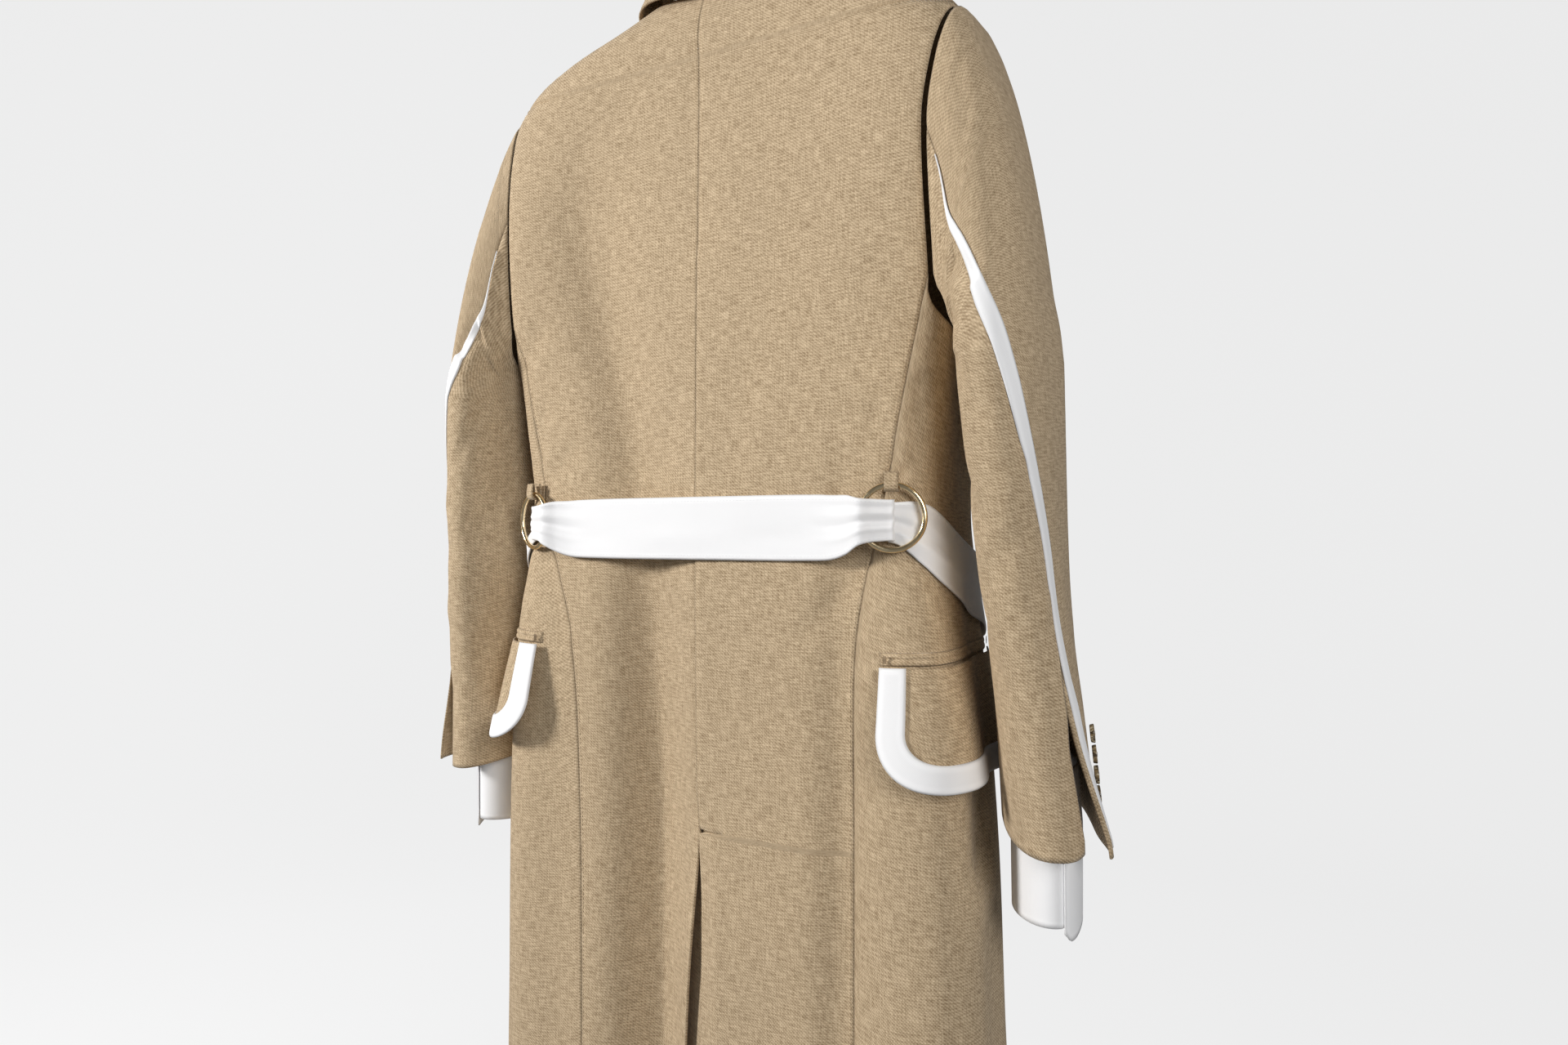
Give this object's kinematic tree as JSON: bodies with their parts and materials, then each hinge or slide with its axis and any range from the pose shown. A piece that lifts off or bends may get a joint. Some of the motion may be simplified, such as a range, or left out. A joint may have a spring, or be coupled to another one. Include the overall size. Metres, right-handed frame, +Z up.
{
  "type": "belted frock coat",
  "caption": "Long tan coat with a half belt of white sash through gold rings, white-edged pocket flaps and a white stripe down each sleeve.",
  "frame": {"origin": "the middle of the neck, level with the neck end of the shoulder seams", "axes": "+Z up the coat, -Y out of its front, +X towards the wearer's left"},
  "size_m": [0.5982, 0.2345, 1.0812],
  "materials": {
    "coat_cloth": "tan melange twill, dry and matt",
    "white_cotton": "smooth white cotton",
    "gold_metal": "polished pale gold",
    "horn": "mottled horn, satin"
  },
  "bodies": {
    "root": {"back_left": "coat_cloth", "back_right": "coat_cloth", "side_body_left": "coat_cloth", "front_left": "coat_cloth", "side_body_right": "coat_cloth", "front_right": "coat_cloth", "sleeve_top_left": "coat_cloth", "sleeve_under_left": "coat_cloth", "sleeve_top_right": "coat_cloth", "sleeve_under_right": "coat_cloth", "sleeve_stripe_left": "white_cotton", "sleeve_stripe_right": "white_cotton", "inner_cuff_left": "white_cotton", "inner_cuff_right": "white_cotton", "cuff_button_left_1": "horn", "cuff_button_left_2": "horn", "cuff_button_left_3": "horn", "cuff_button_left_4": "horn", "cuff_button_right_1": "horn", "cuff_button_right_2": "horn", "cuff_button_right_3": "horn", "cuff_button_right_4": "horn", "front_button_1": "horn", "front_button_2": "horn", "front_button_3": "horn", "lapel_left": "coat_cloth", "lapel_right": "coat_cloth", "collar": "coat_cloth", "pocket_welt_left": "coat_cloth", "pocket_flap_left": "coat_cloth", "flap_border_left": "white_cotton", "pocket_welt_right": "coat_cloth", "pocket_flap_right": "coat_cloth", "flap_border_right": "white_cotton", "ring_left": "gold_metal", "ring_right": "gold_metal", "ring_tab_left": "coat_cloth", "ring_tab_right": "coat_cloth", "belt_back": "white_cotton", "belt_side_left": "white_cotton", "belt_side_right": "white_cotton", "belt_knot": "white_cotton", "belt_tail_left": "white_cotton", "belt_tail_right": "white_cotton"}
  },
  "joints": []
}
